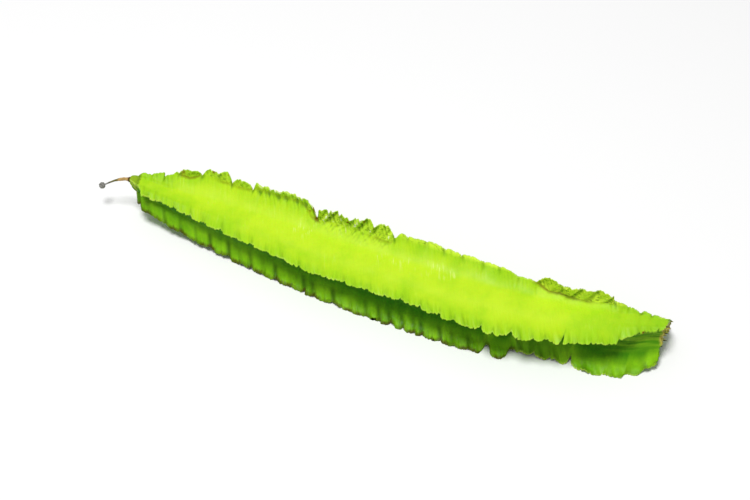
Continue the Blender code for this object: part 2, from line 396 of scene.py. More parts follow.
def walk_out(wing):
    """Width and crease at each station, and the middle surface: y, z and angle, a row for each step out."""
    corner = math.radians(wing["corner"])
    reach = body_reach * (1 - wing["foot_drop"] * fade(along, *FOOT_DROP))
    width = np.maximum(between(along, WIDTHS[wing["name"]]), LEAST_WIDTH)
    crease = np.full(STATIONS, float(NO_CREASE))
    folded = np.zeros(STATIONS)
    if wing["name"] == "back_upper":
        crease = between(along, CREASE_OUT)
        folded = between(along, CREASE_DEGREES)
    y = reach * math.cos(corner)
    z = centre_z + reach * math.sin(corner)
    rows = []
    for step in range(MARCH_STEPS + 1):
        out = step / MARCH_STEPS
        past = (out * width - crease) / CREASE_LENGTH
        angle = wing["points"] + wing["turn"] * out
        angle = angle + folded * (fade(past, 0, 1) + FOLD_GOES_ON * np.maximum(past - 1, 0))
        if wing["lands"] is not None:
            landed = LANDING_TURN * (1 - fade(z, HALF_EDGE, LANDING))
            angle = angle + (wing["lands"] - angle) * landed
            z = np.maximum(z, HALF_EDGE)
        rows.append((y, z, np.radians(angle)))
        y = y + width / MARCH_STEPS * np.cos(np.radians(angle))
        z = z + width / MARCH_STEPS * np.sin(np.radians(angle))
    return {"width": width, "crease": crease, "surface": [np.array(row) for row in zip(*rows)]}


# %% A place on the middle surface
def on_surface(surface, rise, at):
    """y, z and angle of the middle surface at stations, this share of the wing's width from its root."""
    low = np.clip((rise * MARCH_STEPS).astype(int), 0, MARCH_STEPS - 1)
    part = rise * MARCH_STEPS - low
    return (grid[low, at] * (1 - part) + grid[low + 1, at] * part for grid in surface)


# %% [markdown]
# A wing's edge is torn into lobes. A lobe stands widest at its peak and falls back to a notch on each side.
# It also bulges out of the sheet and leans its own way, so light catches each lobe differently. Lobes that
# show are listed, as (where it starts, how deep the notch there is, where in the lobe its peak is).
# The rest come from a seeded random generator. Between the notches the edge has fine teeth and nicks.

# %% Where the lobes that show start
LOBES = {
    "back_upper": [
        (2, 0.2, 0.5), (7, 0.3, 0.9), (11.1, 1.4, 0.8), (16, 0.9, 0.8), (24, 2.4, 0.5), (30, 1.3, 0.6),
        (35.2, 3.9, 0.5), (43.2, 3.3, 0.5), (46.6, 0.8, 0.4), (49.8, 0.7, 0.5), (53.5, 0.6, 0.5),
        (56.4, 0.7, 0.5), (60.2, 0.8, 0.4), (63.4, 0.6, 0.5), (67.4, 5.2, 0.4), (72, 1.3, 0.4),
        (76, 0.9, 0.4), (80, 1.7, 0.6), (84.4, 0.8, 0.5), (88.2, 2.2, 0.5), (94.8, 3.0, 0.6),
        (99, 0.4, 0.4), (105, 0.3, 0.5), (111.6, 0.6, 0.4), (118, 0.4, 0.4), (125, 0.5, 0.4),
        (130.6, 0.5, 0.4), (137, 0.3, 0.5), (143.8, 1.0, 0.5), (151.4, 2.6, 0.4), (157.4, 1.5, 0.5),
        (162.4, 1.2, 0.5), (168.4, 2.4, 0.5)],
    "front_upper": [
        (3.5, 0.1, 0.5), (8.6, 0.7, 0.3), (14, 0.5, 0.4), (19, 0.6, 0.3), (25.6, 0.7, 0.35),
        (31.4, 0.6, 0.3), (38, 0.8, 0.4), (43.6, 0.6, 0.3), (50, 0.8, 0.35), (56, 0.6, 0.3),
        (61.8, 0.8, 0.4), (68, 0.4, 0.35), (75, 0.5, 0.4), (84.2, 0.8, 0.3), (92.2, 0.8, 0.25),
        (99, 0.4, 0.3), (104.4, 1.0, 0.25), (110.5, 1.3, 0.2), (117.3, 1.6, 0.25), (122.6, 0.9, 0.35),
        (130.9, 1.7, 0.85), (135.1, 1.5, 0.35), (140.4, 2.1, 0.6), (147.4, 1.0, 0.5), (151.2, 1.1, 0.7),
        (156.2, 1.2, 0.25), (160.6, 0.5, 0.4), (166.4, 0.3, 0.5), (172.6, 0.3, 0.4), (178, 0.3, 0.5)],
    "front_lower": [
        (92, 0.6, 0.4), (96.6, 0.9, 0.6), (100.4, 1.3, 0.7), (104.9, 1.5, 0.5), (108.9, 0.6, 0.5),
        (111.6, 1.0, 0.6), (118, 0.9, 0.5), (122.2, 0.5, 0.6), (127.6, 0.6, 0.6), (132.6, 0.2, 0.5),
        (140.6, 0.2, 0.5), (143.4, 0.7, 0.5), (147.6, 0.9, 0.6), (152.8, 0.7, 0.6), (159, 2.2, 0.7),
        (165, 0.5, 0.5), (171, 0.5, 0.6), (176.9, 0.3, 0.6), (182.4, 0.7, 0.4)],
    "back_lower": []}
# Narrow slits torn in from an edge: wing, place, depth, half width.
SLITS = [("front_upper", 156.4, 3.0, 0.55), ("back_upper", 68.1, 2.6, 0.8), ("front_lower", 159.2, 2.0, 0.6),
         ("front_upper", 134.7, 1.2, 0.5), ("back_upper", 161.9, 1.6, 0.5)]
print("lobes placed by hand:", {name: len(lobes) for name, lobes in LOBES.items()})

# %% All of a wing's lobes
LOBE_LENGTHS = (3.4, 7.4)
LOBE_DEPTHS = (0.3, 1.5)
LOBE_PEAKS = (0.2, 0.6)
BEFORE_TIP = 4.0
PAST_STALK = 8
CLEAR = 3


def all_lobes(wing):
    """The listed lobes, and seeded ones in the stretches without any."""
    rng = np.random.default_rng(wing["seed"])
    fixed = LOBES[wing["name"]]
    lobes = list(fixed)
    place = -BEFORE_TIP
    while place < POD_LENGTH + PAST_STALK:
        if not fixed or place < fixed[0][0] - CLEAR or place > fixed[-1][0] + CLEAR:
            lobes.append((place, wing["drawn"] * rng.uniform(*LOBE_DEPTHS), rng.uniform(*LOBE_PEAKS)))
        place += rng.uniform(*LOBE_LENGTHS)
    return np.array(sorted(lobes))


print("all lobes:", {wing["name"]: len(all_lobes(wing)) for wing in WINGS})

# %% Notches, teeth, nicks and slits
NOTCH_CURVE = 2.2
TEETH = [(0.12, (1.3, 0.8), 1), (0.15, (2.3, 3.1), 7)]
NICK_DEPTH = 0.5
NICK_WAVES = (1.1, 1.7)
NICKS_ABOVE = 0.35


def torn_off(wing, t, depth, next_depth, peak):
    """How far the edge is drawn back at each station, a share t of the way through its lobe."""
    rising = depth * np.clip(1 - t / peak, 0, 1) ** NOTCH_CURVE
    falling = next_depth * np.clip((t - peak) / (1 - peak), 0, 1) ** NOTCH_CURVE
    teeth = sum(size * waves(along, lengths, wing["seed"] + step) for size, lengths, step in TEETH)
    nicks = NICK_DEPTH * np.clip(waves(along, NICK_WAVES, wing["seed"] + 9) - NICKS_ABOVE, 0, 1)
    for name, place, deep, half in SLITS:
        if name == wing["name"]:
            slit = np.clip(1 - np.abs(along - place) / half, 0, 1)
            nicks = np.maximum(nicks, deep / wing["teeth"] * slit)
    return rising + falling + wing["teeth"] * (teeth + nicks)


# %% How the lobes curve and lean
# On one stretch of the back upper wing all lobes lean the same way and curl at one end, like shingles.
SHINGLED = (43, 67)
SHINGLE_LEAN = -1.3
CURL_RISE = 1.8
CURL_START = 0.5
CURL_END = 0.1
LOBE_CURVES = (-0.4, 1.0)
LOW_CURVE = 0.5
LOW_CURVE_MORE = 0.7
FULL_NOTCH = 0.8


def bell(place, middle, half):
    """1 at a middle, falling off smoothly on both sides of it."""
    return np.exp(-((place - middle) / half) ** 2)


def lobe_lines(wing):
    """For each station: how far it is torn off, how its lobe swings and leans, its notch and its curl."""
    start, depth, peak = all_lobes(wing).T
    rng = np.random.default_rng(wing["seed"] + 3)
    curve = rng.uniform(*LOBE_CURVES, len(start))
    lean = rng.uniform(-1, 1, len(start))
    shingled = (start > SHINGLED[0]) & (start < SHINGLED[1]) & (wing["name"] == "back_upper")
    lean = np.where(shingled, SHINGLE_LEAN, lean)
    if wing["name"] == "front_lower":
        curve = LOW_CURVE + LOW_CURVE_MORE * np.abs(curve)
    i = np.clip(np.searchsorted(start, along, side="right") - 1, 0, len(start) - 2)
    t = (along - start[i]) / (start[i + 1] - start[i])
    off_middle = 2 * t - 1
    swing = curve[i] * np.sin(math.pi * t) + lean[i] * off_middle * (1 - off_middle**6)
    from_notch = np.abs(along[:, None] - start[None, :])
    notch_depth = depth[from_notch.argmin(axis=1)]
    notch = bell(from_notch.min(axis=1), 0, wing["notch"]) * np.clip(notch_depth / FULL_NOTCH, 0, 1)
    return {"torn": torn_off(wing, t, depth[i], depth[i + 1], peak[i]), "swing": wing["bulge"] * swing,
            "lean": lean[i] * np.sin(math.pi * t), "notch": notch,
            "curled": np.clip(CURL_RISE * t - CURL_START, 0, 1) * shingled[i] * fade(t, 1, -CURL_END)}


# %% [markdown]
# A sheet this thin doesn't stay flat. It waves slowly along its edge, its outer part is pleated along the
# veins, and it crumples in larger, softer folds. All of this moves it off its middle surface. The same
# numbers are also kept for each point as painted shading: a painted highlight on the crest of a pleat and
# painted shade in the hollow beside it.

# %% Pleats and crumples
PLEAT_WAVES = (1.25, 1.7)
PLEATS = {
    "back_upper": [(0, 0.08), (16, 0.12), (42, 0.14), (62, 0.2), (67, 0.48), (93, 0.45), (96, 0.06),
                   (142, 0.05), (145, 0.2), (168, 0.16), (172, 0.05), (186, 0.03)],
    "front_upper": [(0, 0.08), (60, 0.06), (105, 0.1), (115, 0.16), (130, 0.2), (165, 0.14), (174, 0.05),
                    (186, 0.03)],
    "front_lower": [(0, 0.1), (90, 0.2), (130, 0.24), (142, 0.14), (160, 0.08), (186, 0.05)],
    "back_lower": [(0, 0.1), (186, 0.14)]}
CRUMPLE_WAVES = (2.6, 3.7, 6.1)
CRUMPLES = {
    "back_upper": [(0, 0.25), (16, 0.35), (42, 0.3), (44, 0.5), (64, 0.6), (67, 0.7), (93, 0.6), (96, 0.15),
                   (142, 0.1), (145, 0.8), (169, 0.8), (172, 0.2), (186, 0.1)],
    "front_upper": [(0, 0.3), (60, 0.25), (105, 0.3), (130, 0.45), (165, 0.35), (186, 0.15)],
    "front_lower": [(0, 0.3), (90, 0.4), (140, 0.5), (186, 0.6)],
    "back_lower": [(0, 0.4), (186, 0.6)]}
print("pleats up to", max(high for stops in PLEATS.values() for place, high in stops), "mm high")

# %% How far the sheet stands off its middle surface
FRILL_WAVES = (17.0, 10.5)
LOOSE_LENGTH = 2
LOOSE_OUTER = 0.5
LOOSENING = 1.3
CRUMPLE_SLANT = 0.6
SWING_OUT = 1.6
CURL_HEIGHT = 0.7
# A curled tip gets painted light, and the sheet just under the curl gets painted shade.
CURL_LIGHT = 1.2
CURL_SHADE = 1.15
CURL_WIDTH = 1.0
UNDER_CURL = (2.0, 0.9)
FULL_PLEAT = 0.4
FULL_CRUMPLE = 0.7
CRUMPLE_SHADING = 0.8


def relief(wing, sheet, r, rise, outer, at):
    """How far points stand off the sheet's middle surface, and their painted shading, from -1 (painted shade)
    to 1 (painted highlight).
    """
    crease = sheet["crease"][at]
    past_crease = np.clip((r - crease) / LOOSE_LENGTH, 0, 1)
    loose = np.where(crease < NO_CREASE, np.maximum(past_crease, LOOSE_OUTER * outer), outer)
    frill = wing["frill"] * waves(along, FRILL_WAVES, wing["seed"])
    pleats = between(along, PLEATS[wing["name"]])[at]
    crumples = between(along, CRUMPLES[wing["name"]])[at]
    pleat = outer * waves(along[at] + wing["slant"] * r, PLEAT_WAVES, wing["seed"] + 2)
    crumple = loose**LOOSENING * waves(along[at] - CRUMPLE_SLANT * r, CRUMPLE_WAVES, wing["seed"] + 4)
    curl = sheet["curled"][at] * bell(sheet["edge"][at] - r, 0, CURL_WIDTH)
    under_curl = sheet["curled"][at] * bell(sheet["edge"][at] - r, *UNDER_CURL)
    off = frill[at] * rise**2 + sheet["swing"][at] * outer**SWING_OUT
    off = off + pleats * pleat + crumples * crumple + CURL_HEIGHT * curl
    painted_shading = wing["painted_shading"] * np.minimum(pleats / FULL_PLEAT, 1) * pleat
    painted_shading = painted_shading + CRUMPLE_SHADING * np.minimum(crumples / FULL_CRUMPLE, 1) * crumple
    return off, np.clip(painted_shading + CURL_LIGHT * curl - CURL_SHADE * under_curl, -1, 1)


# %% How thick the sheet is
HALF_ROOT = 0.85
THINNING = 1.6
RIM_SHARE = 0.6
FILLET = 0.7
FILLET_LENGTH = 1.5
THICKEST = 0.3


def half_thickness(r, rise, last, at):
    """Half the sheet's thickness: a fillet at the root, and thinner and thinner towards the edge."""
    half = HALF_EDGE + (HALF_ROOT - HALF_EDGE) * (1 - rise) ** THINNING
    half = half * np.where(last, RIM_SHARE, 1) + FILLET * np.exp(-r / FILLET_LENGTH)
    return np.minimum(half, THICKEST * body_reach[at])


# %% A place and some numbers for each point
# The numbers say where in its wing a point lies. The colours need them later.
FAR = 9.0

placed = np.zeros((len(blank), 3))
placed[:, 0] = centre_x[station]
from_root = np.zeros(len(blank))
from_edge = np.full(len(blank), FAR)
to_full_edge = np.zeros(len(blank))
from_crease = np.full(len(blank), -FAR)
notched = np.zeros(len(blank))
painted_shading = np.zeros(len(blank))
print("x runs from", placed[:, 0].min(), "to", placed[:, 0].max(), "mm")

# %% Put the wings' points in place
EDGE_CROWDING = 1.3
MOST_TORN = 0.8
LEAST_LEFT = 0.1
LEAN = 0.45
RIM_ROUNDING = 0.12
NOTCH_FADE = 2

sheets = []
for k, wing in enumerate(WINGS):
    sheet = {**walk_out(wing), **lobe_lines(wing)}
    torn = np.clip(sheet["torn"], 0, MOST_TORN * sheet["width"])
    sheet["edge"] = np.maximum(sheet["width"] - torn, LEAST_LEFT)
    sheets.append(sheet)
    mine = on_wing & (nearest == k)
    at = station[mine]
    last = wing_step[mine] == WING_STEPS
    width, crease, edge = sheet["width"][at], sheet["crease"][at], sheet["edge"][at]
    r = (1 - (1 - wing_step[mine] / WING_STEPS) ** EDGE_CROWDING) * edge
    rise = np.clip(r / width, 0, 1)
    outer = np.clip((r - width + wing["outer"]) / wing["outer"], 0, 1)
    y, z, angle = on_surface(sheet["surface"], rise, at)
    off, painted_shading[mine] = relief(wing, sheet, r, rise, outer, at)
    off = off + side[mine] * half_thickness(r, rise, last, at)
    rim = RIM_ROUNDING * (last & (side[mine] == 0))
    placed[mine, 0] += LEAN * sheet["lean"][at] * outer**2
    placed[mine, 1] = centre_y[at] + y - off * np.sin(angle) + rim * np.cos(angle)
    placed[mine, 2] = z + off * np.cos(angle) + rim * np.sin(angle)
    from_root[mine] = r
    from_edge[mine] = edge - r
    to_full_edge[mine] = width - r
    from_crease[mine] = np.where(crease < NO_CREASE, r - crease, -FAR)
    # The notch value places a line of painted shade that runs in from the edge below each notch.
    notch = np.interp(along[at] + wing["slant"] * r - wing["slant"] * edge, along, sheet["notch"])
    notched[mine] = wing["shade"] * notch * np.clip((r - edge + wing["reach"]) / NOTCH_FADE, 0, 1)
print("wings in place, up to", round(float(from_root.max()), 1), "mm wide")

# %% [markdown]
# The body's faces are stretched between the roots of the wings, and bulge a little.

# %% Put the body's faces in place
FACE_BULGE = (0.04, 0.16, 0.2, 0.14)
FACE_WIDE = 1.4
UNEVEN = 0.03
UNEVEN_WAVES = (6.0, 3.4)
FACE_WIDTH = 7

roots = {}
for k in range(4):
    for s in (-1, 1):
        foot = on_wing & (nearest == k) & (side == s) & (wing_step == 0)
        roots[k, s] = np.zeros((STATIONS, 2))
        roots[k, s][station[foot]] = placed[foot, 1:]
for k in range(4):
    mine = ~on_wing & (face_start == k)
    at = station[mine]
    t = face_share[mine]
    there = t[:, None]
    line = roots[k, 1][at] * (1 - there) + roots[(k + 1) % 4, -1][at] * there
    centre = np.stack([centre_y[at], centre_z[at]], axis=-1)
    wide = FACE_WIDE * body_reach[at]
    to_full_edge[mine] = np.minimum(sheets[k]["width"][at] + wide * t,
                                    sheets[(k + 1) % 4]["width"][at] + wide * (1 - t))
    bump = UNEVEN * waves(along[at] + FACE_WIDTH * t, UNEVEN_WAVES, seed=60 + k)
    bulge = (FACE_BULGE[k] + bump)[:, None] * np.sin(math.pi * there)
    placed[mine, 1:] = centre + (line - centre) * (1 + bulge)
placed[:, 2] = np.maximum(placed[:, 2], 0)
print("lowest point", placed[:, 2].min(), "mm, highest", round(float(placed[:, 2].max()), 1))

# %% [markdown]
# The stalk end was snapped off, so it ends in short, uneven fibres. First the points near that end are
# pushed along the pod by a wave that runs round the section. Then thin cones are stuck in it, each tilted
# its own way, and joined to the pod, since they are part of it.

# %% The ragged stalk end
RAGGED_LENGTH = 5.0
RAGGED_FADE = 1.5
RAGGED = 0.7
RAGGED_WAVES = (1.1, 2.9, 6.5)
RAGGED_TURN = 1.3
END_SLANT = 0.6
END_SLANT_FROM = 0.4
END_SLANT_LENGTH = 2.4

near_end = np.clip(1 - (POD_LENGTH - along[station]) / RAGGED_LENGTH, 0, 1) ** RAGGED_FADE
round_section = placed[:, 1] + placed[:, 2] * RAGGED_TURN
placed[:, 0] += RAGGED * near_end * waves(round_section, RAGGED_WAVES, seed=81)
backness = np.clip((placed[:, 1] - centre_y[station] - END_SLANT_FROM) / END_SLANT_LENGTH, -1, 1)
placed[:, 0] += END_SLANT * near_end * backness
move_points(pod, placed)
print("pod box, mm", placed.min(axis=0).round(1), placed.max(axis=0).round(1))

# %% Where the torn fibres stand
FIBRES_ON_FACE = (0.15, 0.27, 0.36, 0.47, 0.58, 0.67, 0.78, 0.9, 1.0)
FIBRES_ON_WING = (0.8, 1.5, 2.3, 3.2)
WING_DOWN = np.array((-0.7, -0.71))

top_corner = roots[1, -1][-1]
low_corner = roots[2, 1][-1]
fibre_starts = [top_corner + (low_corner - top_corner) * part_down for part_down in FIBRES_ON_FACE]
fibre_starts += [low_corner + WING_DOWN * out for out in FIBRES_ON_WING]
print("fibres run from", top_corner.round(1), "down to", low_corner.round(1))

# %% Torn fibres on the stalk end
FIBRE_SIDES = 7
FIBRE_RADIUS = 0.42
FIBRE_TIP = 0.06
FIBRE_LENGTHS = (1.8, 3.4)
FIBRE_SPREAD = 0.2
FIBRE_TILTS = (0.3, 0.25)
FIBRE_DEEP = 1.7
FIBRE_OUT = 0.42
FIBRE_BACK = 0.25
FIBRE_DRYNESS = (0.35, 0.6, 1.3)

rng = np.random.default_rng(17)
bpy.ops.object.select_all(action="DESELECT")
fibres = []
for start in fibre_starts:
    y, z = start + rng.uniform(-FIBRE_SPREAD, FIBRE_SPREAD, 2)
    length = rng.uniform(*FIBRE_LENGTHS)
    below = max(low_corner[1] - z, 0)
    x = TIP_X + POD_LENGTH - FIBRE_DEEP + FIBRE_OUT * length - FIBRE_BACK * below
    nod, yaw = [rng.uniform(-tilt, tilt) for tilt in FIBRE_TILTS]
    bpy.ops.mesh.primitive_cone_add(vertices=FIBRE_SIDES, radius1=FIBRE_RADIUS * MM, radius2=FIBRE_TIP * MM,
                                    depth=length * MM, location=(x * MM, y * MM, z * MM),
                                    rotation=(nod, math.pi / 2 + yaw, 0))
    fibres.append(bpy.context.object)
for fibre in fibres:
    fibre.select_set(True)
pod.select_set(True)
bpy.context.view_layer.objects.active = pod
bpy.ops.object.join()
bpy.ops.object.shade_smooth()
extra = len(pod.data.vertices) - len(blank)
fibre_dry = np.repeat(rng.choice(FIBRE_DRYNESS, len(fibres)), extra // len(fibres))
print("fibres:", len(fibres), "with", extra, "points")

# %% [markdown]
# ## Where the colours go
#
# The skin's colours follow the form: pale along a wing's rim, brown at a crease, a bruise or the dry stalk
# end. Light and shade are painted into the colours too: lit, yellower greens on the top face, painted shade
# on the other faces and deep in the valleys, and painted highlights and shade on pleats, notches and folds.
# They could be painted by hand. Here each is worked out as a number for each point, from where it lies on
# the form, and kept on the mesh as an attribute that the material reads.

# %% Words for places on the pod
s_place = along[station]
on_back = nearest == 0
on_front = nearest == 1
on_low = nearest == 2
top = valley == 0
across = np.where(on_wing, np.where(side >= 0, -from_root, FACE_WIDTH + from_root), face_share * FACE_WIDTH)
print("across the top valley:", across[top].min().round(1), "to", across[top].max().round(1), "mm")

# %% [markdown]
# Where the pod was knocked, folded or squeezed, cells burst, dry out and turn brown. A bruise is a soft
# spot on a wing: wing, place, how far out, half its length, half its width, and how brown it is.

# %% Bruises and the brown of the crease
BRUISES = [(0, 17.6, 6.6, 1.2, 1.0, 0.6), (0, 28.2, 10.0, 0.7, 0.9, 0.65), (0, 33.8, 10.4, 0.5, 0.7, 0.5),
           (0, 64.4, 7.2, 1.6, 0.9, 0.5), (0, 66.6, 8.6, 0.5, 1.4, 0.9), (0, 67.6, 5.6, 0.8, 0.9, 1.0),
           (0, 73.8, 9.4, 0.5, 0.7, 0.6), (0, 78.6, 8.6, 0.6, 0.8, 0.8), (0, 84.2, 9.6, 0.4, 0.8, 0.7),
           (0, 87.8, 8.6, 0.4, 1.0, 0.7), (0, 167.6, 5.8, 0.5, 0.6, 0.5), (1, 179.3, 2.0, 0.7, 0.35, 1.0),
           (1, 7.4, 3.2, 0.6, 0.3, 0.4)]
CREASE_BROWN = [(0, 0), (16, 0), (16.8, 0.8), (18.2, 0.9), (23.0, 0.9), (24, 0.1), (27, 0.05), (30, 0.2),
                (32, 0.6), (34.5, 0.5), (36, 0.2), (38, 0.5), (40.5, 0.4), (42.5, 0.6), (43.5, 0.3),
                (64, 0.35), (66, 0.6), (68, 1.0), (69.5, 0.1), (87, 0.1), (89, 0.5), (94, 0.4), (95.5, 0),
                (141, 0), (143, 0.7), (145, 1.0), (153, 0.9), (160, 0.5), (166, 0.1), (186, 0)]

bruise = np.zeros(len(blank))
for k, place, out, half_long, half_wide, strength in BRUISES:
    spot = ((s_place - place) / half_long) ** 2 + ((from_root - out) / half_wide) ** 2
    bruise = np.maximum(bruise, strength * np.exp(-spot) * (on_wing & (nearest == k)))
crease_brown = between(s_place, CREASE_BROWN)
print("bruised points:", int((bruise > 0.5).sum()))

# %% [markdown]
# The top valley gets painted sunlight: lit, yellow-green copies of the greens, while the other faces get
# painted shade. The front face turns to ribs near the stalk, where the skin has shrunk onto the fibres below
# it. The stalk end has dried, except for a pale, green spot of painted light at its top corner.

# %% Painted sunlight, ribs and the dry end
RIM_SUN = 0.8
FRONT_LOSS = 0.25
FRONT_LOSS_OUT = (4, 5)
RIBS_FROM = (166, 8)
RIBS_END = 1.3
RIBS_OUT = 2
RIBS_OUT_LOW = 4.5
DRY_FROM = (185.7, 184.6, 184.8, 185.2)
DRY_LENGTH = 1.6
MOIST = 1.5
MOIST_OUT = (2, 2.5)
MOIST_BACK = 1.2
PALE_END = 1.9
LIT_TIP_NOT_DRY = 2

# Where sunlight is painted: 1 on the top valley, a little less on the rims of the upper wings, and less on
# the outer part of the front upper wing. The other faces get painted shade.
sunny = np.where(top, 1.0, np.where((side == 0) & (on_back | on_front), RIM_SUN, 0.0))
sunny = sunny * (1 - FRONT_LOSS * fade(from_root, *FRONT_LOSS_OUT) * on_front)
ribs_out = np.clip(RIBS_END - from_root / np.where(on_low, RIBS_OUT_LOW, RIBS_OUT), 0, 1)
ribbed = (valley == 1) * fade(s_place, *RIBS_FROM) * np.where(on_wing, ribs_out, 1)
# A pale, green spot of painted light at the stalk end's top corner: it is kept from drying brown, and the
# pale rim colour covers it.
top_end = roots[0, 1][-1]
from_top_end = ((placed[:, 1:] - top_end) ** 2).sum(axis=1)
painted_light_tip = np.exp(-from_top_end / PALE_END**2) * (station == STATIONS - 1)
dry = (s_place - np.array(DRY_FROM)[valley]) / DRY_LENGTH - MOIST * fade(from_root, *MOIST_OUT)
dry = np.clip(dry - MOIST_BACK * (on_wing & on_back) - LIT_TIP_NOT_DRY * painted_light_tip, -1, 1)
print("points in the sun:", int((sunny > 0.5).sum()), "dry points:", int((dry > 0).sum()))

# %% [markdown]
# The middle of the top face, where sunlight is painted, is the yellowest. The skin near the stalk has an
# older, flatter green, and one patch on the back upper wing near the tip gets it as painted shade.

# %% Yellow middle, old green and a patch of painted shade
MIDDLE_FROM = (3.5, 5.5)
MIDDLE_WAVER = 0.8
MIDDLE_WAVES = (9.0, 14.0)
MIDDLE_LOSS = 0.9
MIDDLE_LOSS_FROM = (148, 28)
MIDDLE_LEAST = 0.75
MIDDLE_GROWS = (0, 60)
OLD_FROM = (156, 30)
SHADE_PATCH = 0.9
SHADE_PATCH_ALONG = (10.5, 3.6)
SHADE_PATCH_ACROSS = (-3.0, 2.6)

inwards = to_full_edge + MIDDLE_WAVER * waves(s_place + across, MIDDLE_WAVES, seed=71)
middle = fade(inwards, *MIDDLE_FROM) * (1 - MIDDLE_LOSS * fade(s_place, *MIDDLE_LOSS_FROM))
middle = middle * (MIDDLE_LEAST + (1 - MIDDLE_LEAST) * fade(s_place, *MIDDLE_GROWS))
# A patch of painted shade, in the old green, on the back upper wing near the tip.
painted_shade_patch = bell(s_place, *SHADE_PATCH_ALONG) * bell(across, *SHADE_PATCH_ACROSS) * (top & on_back)
old_end = fade(s_place, *OLD_FROM) + SHADE_PATCH * painted_shade_patch
print("yellow points:", int((middle * sunny > 0.5).sum()))

# %% [markdown]
# Pale veins are painted as glints, a painted highlight, along one stretch of the top face and below the
# ruffled part of the back wing. Below the ruffle, painted light and shade also mottle the skin, as if the
# pleats ran down to it.

# %% Painted glints and painted shade mottles
GLINT_STRETCH = (55, 128, 8)
GLINT_ACROSS = (-0.5, 2.6)
RUFFLE = (66, 95, 4)
RUFFLE_ACROSS = (-5.0, 2.2)
RUFFLE_GLINTS = 1.2
MOTTLES = [(1, -0.9, (2.4, 1.5), 97), (0.7, 0.8, (3.1, 1.9), 98)]
MOTTLE_BIAS = 0.2
MOTTLE_SHADING = 0.42


def stretch(place, start, end, soft):
    """1 between two places and 0 outside them, with soft ends of this length."""
    return fade(place, start, soft) * fade(place, end, -soft)


painted_glint_area = top * bell(across, *GLINT_ACROSS) * stretch(s_place, *GLINT_STRETCH)
under_ruffle = top * bell(across, *RUFFLE_ACROSS) * stretch(s_place, *RUFFLE)
painted_glint_area = np.maximum(painted_glint_area, RUFFLE_GLINTS * under_ruffle)
# Mottles of painted light and shade below the ruffle, added to the painted shading.
shade_mottles = sum(size * waves(s_place + slope * across, lengths, seed) for size, slope, lengths, seed in MOTTLES)
painted_shading = np.clip(painted_shading + MOTTLE_SHADING * (shade_mottles - MOTTLE_BIAS) * under_ruffle, -1, 1)
print("mottled points:", int((under_ruffle > 0.5).sum()))

# %% [markdown]
# Below each notch runs a line of painted shade, where the lobes on its two sides fold into each other. It
# is fainter among the shingles and near the stalk on the front lower wing. Near the stalk, painted shade
# also darkens the front lower wing. The upper wings have a pale rim. The lower ones lie on the table, and
# there the rim has dried brown in places.

# %% Painted notch shade, painted light on folds, and rims
SHINGLE_INSIDE = 2
SHINGLE_SHADE = 0.45
LOW_GREEN_FROM = (139, 5)
LOW_NOTCH_FROM = (138, 6)
LOW_NOTCH_LOSS = 0.65
LOW_SHADE = [(0, 0), (139, 0), (142, 0.45), (154, 0.4), (160, 0.16), (186, 0.12)]
# How much painted light the folded parts beyond the crease get along the pod: little among the shingles, most
# on the flap near the stalk.
FOLD_LIGHT = [(0, 0.25), (43, 0.25), (44, 0.05), (66, 0.05), (68, 0.45), (94, 0.45), (140, 1), (186, 1)]
# The back wing's rim is paler still at the stalk end, as painted light on the top corner.
BACK_RIM = [(0, 0.2), (15, 0.3), (16, 1), (66, 1), (67, 0.8), (180, 0.8), (183, 1.6), (186, 1.6)]
FRONT_RIM = 0.5
LOW_RIM = 0.8
LIT_TIP_RIM = 1.5
BROWN_LOSS = 0.7
BROWN_WAVES = (11.0, 4.3)
BROWN_FROM = (-0.5, 1)
BROWN_LEAST = 0.5

in_shingles = on_back & (s_place > SHINGLED[0] + SHINGLE_INSIDE) & (s_place < SHINGLED[1] - SHINGLE_INSIDE)
notched = notched * np.where(in_shingles, SHINGLE_SHADE, 1)
notched = notched * np.where(on_low, 1 - LOW_NOTCH_LOSS * fade(s_place, *LOW_NOTCH_FROM), 1)
# Painted shade on the front lower wing near the stalk.
painted_shading = np.clip(painted_shading - between(s_place, LOW_SHADE) * on_low, -1, 1)
low_green = fade(s_place, *LOW_GREEN_FROM) * on_low
pale_rim = on_wing * (between(s_place, BACK_RIM) * on_back + FRONT_RIM * on_front + LOW_RIM * low_green)
# The spot of painted light at the stalk end's top corner gets the pale rim colour too.
pale_rim = np.maximum(pale_rim, LIT_TIP_RIM * painted_light_tip)
browned = BROWN_LEAST + (1 - BROWN_LEAST) * fade(waves(s_place, BROWN_WAVES, seed=73), *BROWN_FROM)
brown_rim = on_wing * (nearest >= 2) * (1 - BROWN_LOSS * low_green) * browned
print("notch lines cover", int((notched > 0.3).sum()), "points")

# %% Keep the numbers on the mesh
# Beside each row of numbers stands the number that the fibres' points get.
PALE_ENOUGH = 0.3
# On the spot of painted light at the stalk end's top corner, the gap to the edge counts as 0, so the pale rim
# covers it.
numbers = {"edge_gap": (np.where(painted_light_tip > PALE_ENOUGH, 0, from_edge), FAR),
           "crease_gap": (from_crease, -FAR), "crease_brown": (crease_brown, 0),
           "bruise": (bruise, 0), "sunny": (sunny, 0.5),
           "middle": (middle, 0), "old_end": (old_end, 0), "painted_glint_area": (painted_glint_area, 0), "ribbed": (ribbed, 0),
           "notched": (notched, 0), "painted_shading": (painted_shading, 0), "fold_light": (between(s_place, FOLD_LIGHT), 0),
           "pale_rim": (pale_rim, 0), "brown_rim": (brown_rim, 0), "dry": (dry, fibre_dry),
           "from_tip": (s_place, POD_LENGTH)}
for name, (values, on_fibre) in numbers.items():
    attribute = pod.data.attributes.new(name, "FLOAT", "POINT")
    attribute.data.foreach_set("value", np.append(values, np.zeros(extra) + on_fibre).astype(np.float32))
print(len(numbers), "numbers kept for each of", len(pod.data.vertices), "points")

